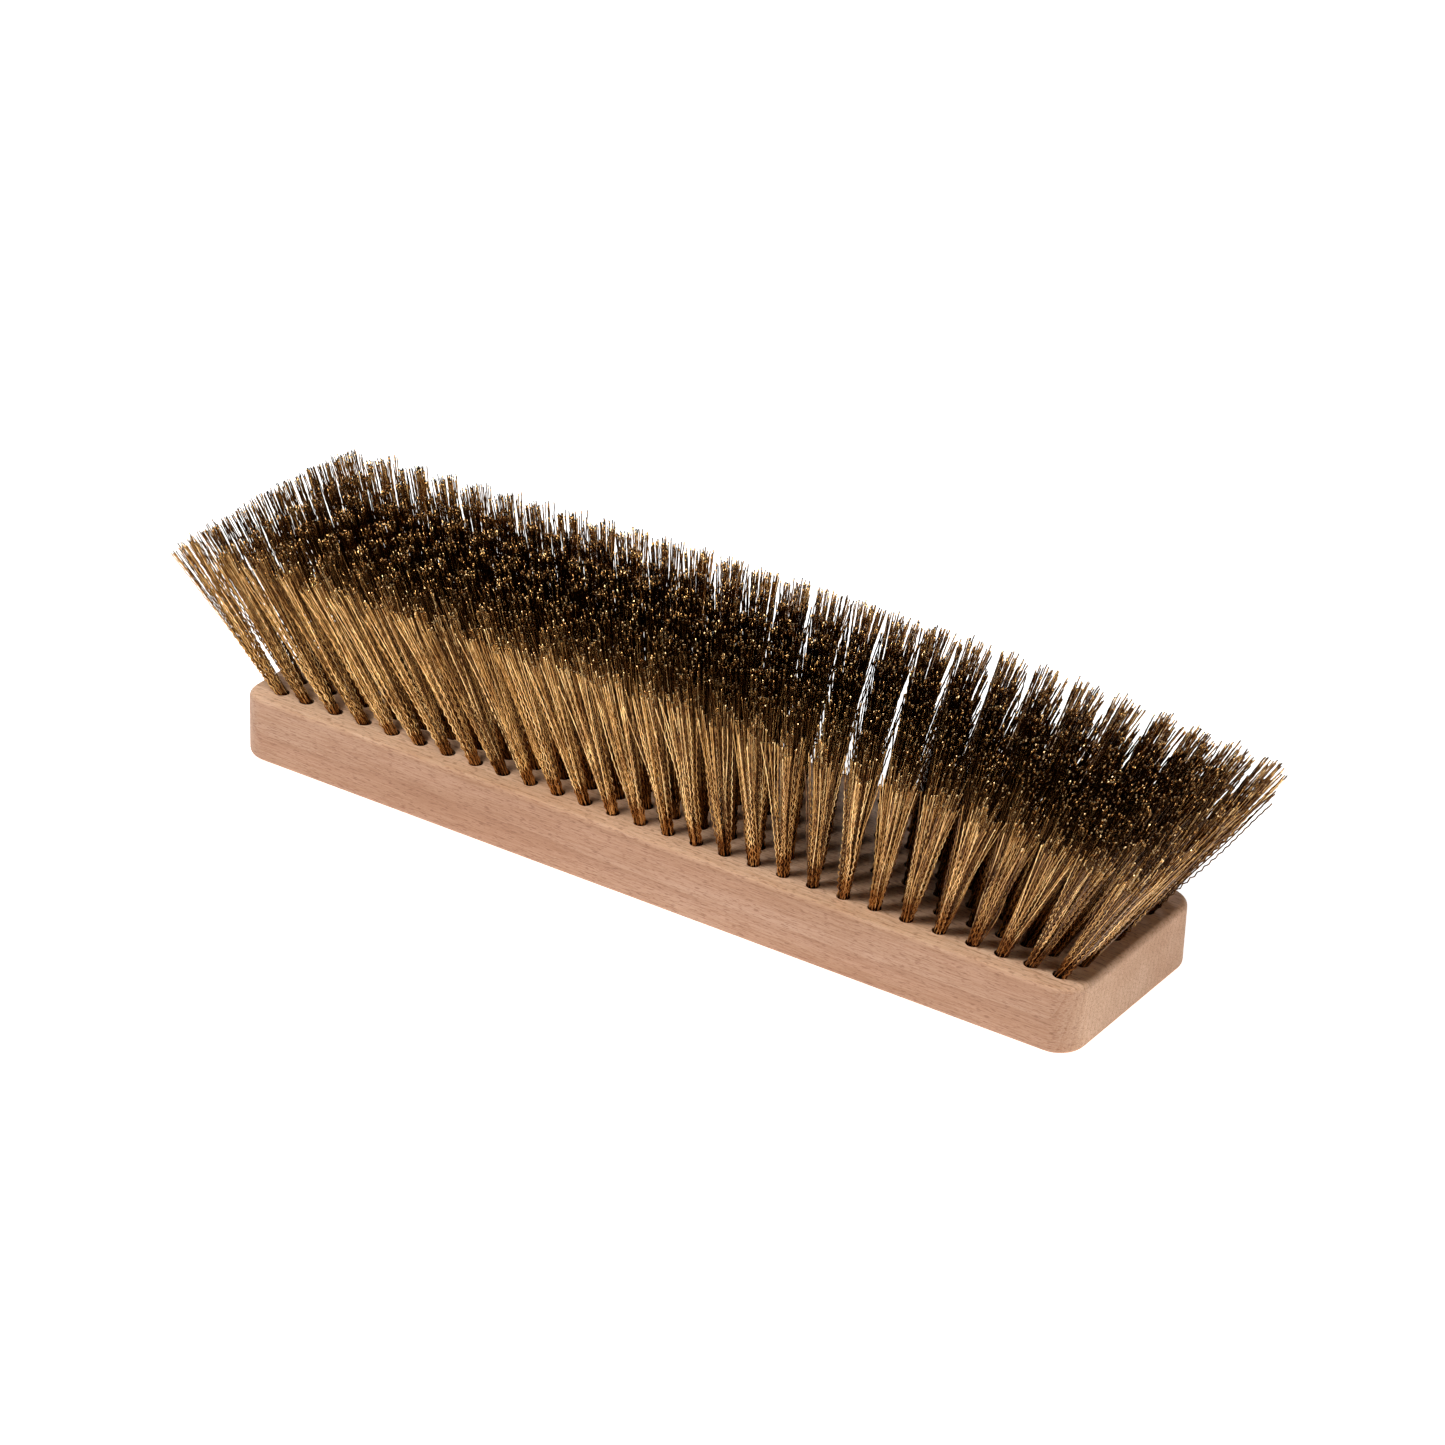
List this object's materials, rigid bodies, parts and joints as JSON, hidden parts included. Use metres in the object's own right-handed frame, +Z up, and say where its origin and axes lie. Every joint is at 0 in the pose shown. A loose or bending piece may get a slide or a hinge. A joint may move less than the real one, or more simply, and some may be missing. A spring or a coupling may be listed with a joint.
{
  "type": "wire brush",
  "caption": "Block-style wire brush head: a rounded beech block set with staggered rows of crimped brass-wire tufts that fan outwards.",
  "frame": {"origin": "centre of the block's flat resting face, which lies on Z = 0", "axes": "+X along the block's length, +Y from the block's front face to its back face, +Z up through the tufts to the trimmed tips"},
  "size_m": [0.3476, 0.093, 0.0798],
  "materials": {
    "beech": "sanded, unvarnished steamed beech",
    "brass_wire": "crimped drawn brass wire, bright at the cut tips",
    "anchor_steel": "plain flat anchor wire"
  },
  "bodies": {
    "root": {"beech_block": "beech", "tuft_column_01": "brass_wire", "tuft_column_02": "brass_wire", "tuft_column_03": "brass_wire", "tuft_column_04": "brass_wire", "tuft_column_05": "brass_wire", "tuft_column_06": "brass_wire", "tuft_column_07": "brass_wire", "tuft_column_08": "brass_wire", "tuft_column_09": "brass_wire", "tuft_column_10": "brass_wire", "tuft_column_11": "brass_wire", "tuft_column_12": "brass_wire", "tuft_column_13": "brass_wire", "tuft_column_14": "brass_wire", "tuft_column_15": "brass_wire", "tuft_column_16": "brass_wire", "tuft_column_17": "brass_wire", "tuft_column_18": "brass_wire", "tuft_column_19": "brass_wire", "tuft_column_20": "brass_wire", "tuft_column_21": "brass_wire", "tuft_column_22": "brass_wire", "tuft_column_23": "brass_wire", "tuft_column_24": "brass_wire", "tuft_column_25": "brass_wire", "tuft_column_26": "brass_wire", "tuft_column_27": "brass_wire", "tuft_column_28": "brass_wire", "tuft_anchor_column_01": "anchor_steel", "tuft_anchor_column_02": "anchor_steel", "tuft_anchor_column_03": "anchor_steel", "tuft_anchor_column_04": "anchor_steel", "tuft_anchor_column_05": "anchor_steel", "tuft_anchor_column_06": "anchor_steel", "tuft_anchor_column_07": "anchor_steel", "tuft_anchor_column_08": "anchor_steel", "tuft_anchor_column_09": "anchor_steel", "tuft_anchor_column_10": "anchor_steel", "tuft_anchor_column_11": "anchor_steel", "tuft_anchor_column_12": "anchor_steel", "tuft_anchor_column_13": "anchor_steel", "tuft_anchor_column_14": "anchor_steel", "tuft_anchor_column_15": "anchor_steel", "tuft_anchor_column_16": "anchor_steel", "tuft_anchor_column_17": "anchor_steel", "tuft_anchor_column_18": "anchor_steel", "tuft_anchor_column_19": "anchor_steel", "tuft_anchor_column_20": "anchor_steel", "tuft_anchor_column_21": "anchor_steel", "tuft_anchor_column_22": "anchor_steel", "tuft_anchor_column_23": "anchor_steel", "tuft_anchor_column_24": "anchor_steel", "tuft_anchor_column_25": "anchor_steel", "tuft_anchor_column_26": "anchor_steel", "tuft_anchor_column_27": "anchor_steel", "tuft_anchor_column_28": "anchor_steel"}
  },
  "joints": []
}
